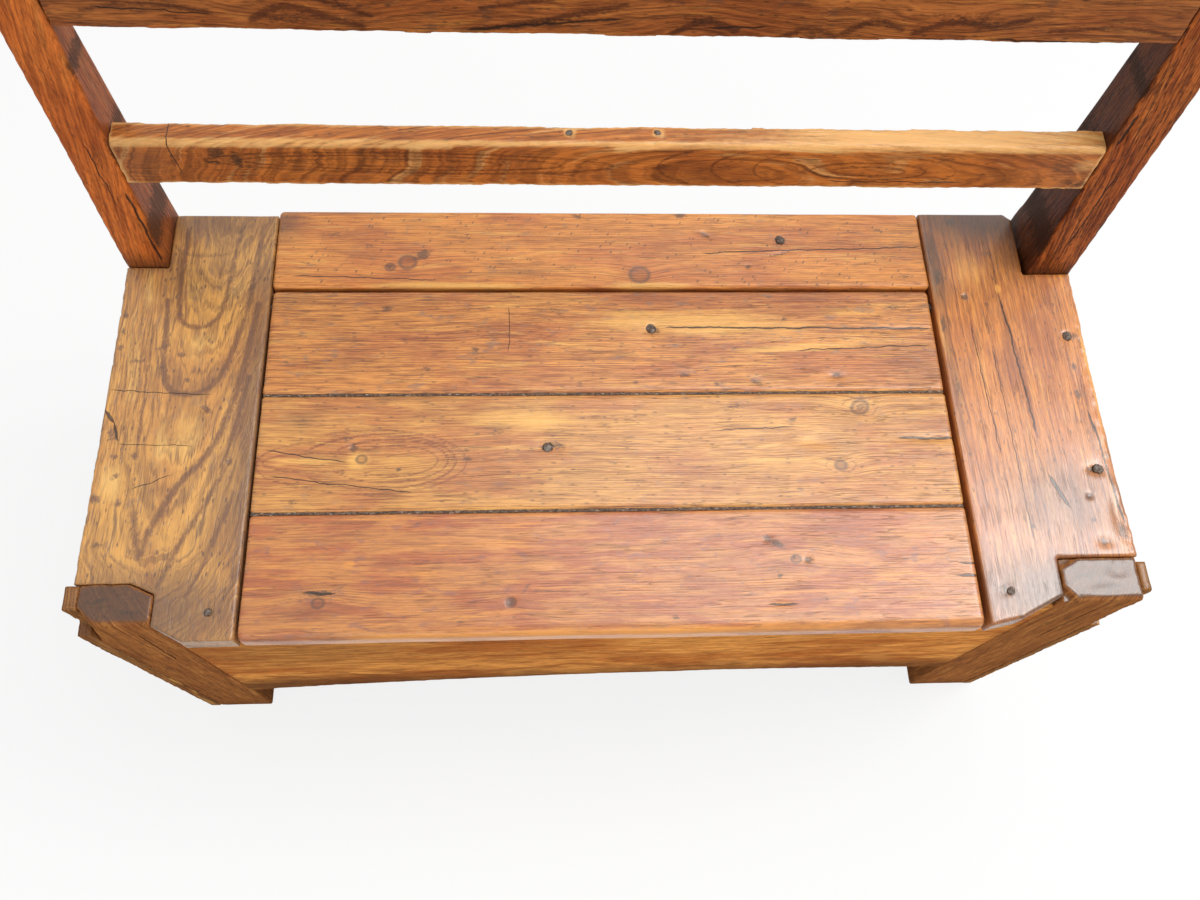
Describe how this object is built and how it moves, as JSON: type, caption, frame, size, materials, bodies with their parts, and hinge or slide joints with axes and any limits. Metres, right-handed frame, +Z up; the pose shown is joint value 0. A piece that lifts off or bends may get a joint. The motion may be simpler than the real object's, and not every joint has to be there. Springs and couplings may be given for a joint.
{
  "type": "settle bench",
  "caption": "Low box settle of waxed old wood with a two-rail raked back and a pin-hinged lifting plank seat over a storage well.",
  "frame": {"origin": "on the floor under the middle of the bench's box", "axes": "+X along the seat to the sitter's left as the bench is seen from the front, to the right in the view; +Y from the front edge to the back; +Z up"},
  "size_m": [1.0164, 0.461, 0.85],
  "materials": {
    "post_wood": "waxed, worn satin",
    "rail_wood": "waxed, worn satin",
    "plank_wood": "waxed, polished",
    "end_board_wood": "waxed, polished",
    "front_board_wood": "waxed, worn satin",
    "box_wood": "dry, unpolished",
    "nail_iron": "worn, waxed",
    "hinge_iron": "dull"
  },
  "bodies": {
    "frame": {"left_back_post": "post_wood", "right_back_post": "post_wood", "left_front_leg": "post_wood", "right_front_leg": "post_wood", "left_leg_strip": "post_wood", "right_leg_strip": "post_wood", "top_rail": "rail_wood", "mid_rail": "rail_wood", "front_board": "front_board_wood", "back_board": "box_wood", "left_side_board": "box_wood", "right_side_board": "box_wood", "left_end_board": "end_board_wood", "right_end_board": "end_board_wood", "rear_seat_plank": "plank_wood", "left_seat_bearer": "box_wood", "right_seat_bearer": "box_wood", "left_floor_ledger": "box_wood", "right_floor_ledger": "box_wood", "front_floor_board": "box_wood", "middle_floor_board": "box_wood", "rear_floor_board": "box_wood", "floor_batten": "box_wood", "left_pivot_pin": "hinge_iron", "right_pivot_pin": "hinge_iron", "seat_nails": "nail_iron", "strip_nails": "nail_iron", "mid_rail_nails": "nail_iron", "bearer_nails": "nail_iron", "floor_nails": "nail_iron", "batten_nails": "nail_iron"},
    "lid": {"lid_rear_plank": "plank_wood", "lid_middle_plank": "plank_wood", "lid_front_plank": "plank_wood", "left_lid_cleat": "box_wood", "centre_lid_cleat": "box_wood", "right_lid_cleat": "box_wood", "lid_nails": "nail_iron", "cleat_nails": "nail_iron"}
  },
  "joints": [
    {"name": "lid_hinge", "type": "hinge", "parent": "frame", "child": "lid", "pos_m": [0, 0.1181, 0.442], "axis": [-1, 0, 0], "range_deg": [0, 99]}
  ]
}
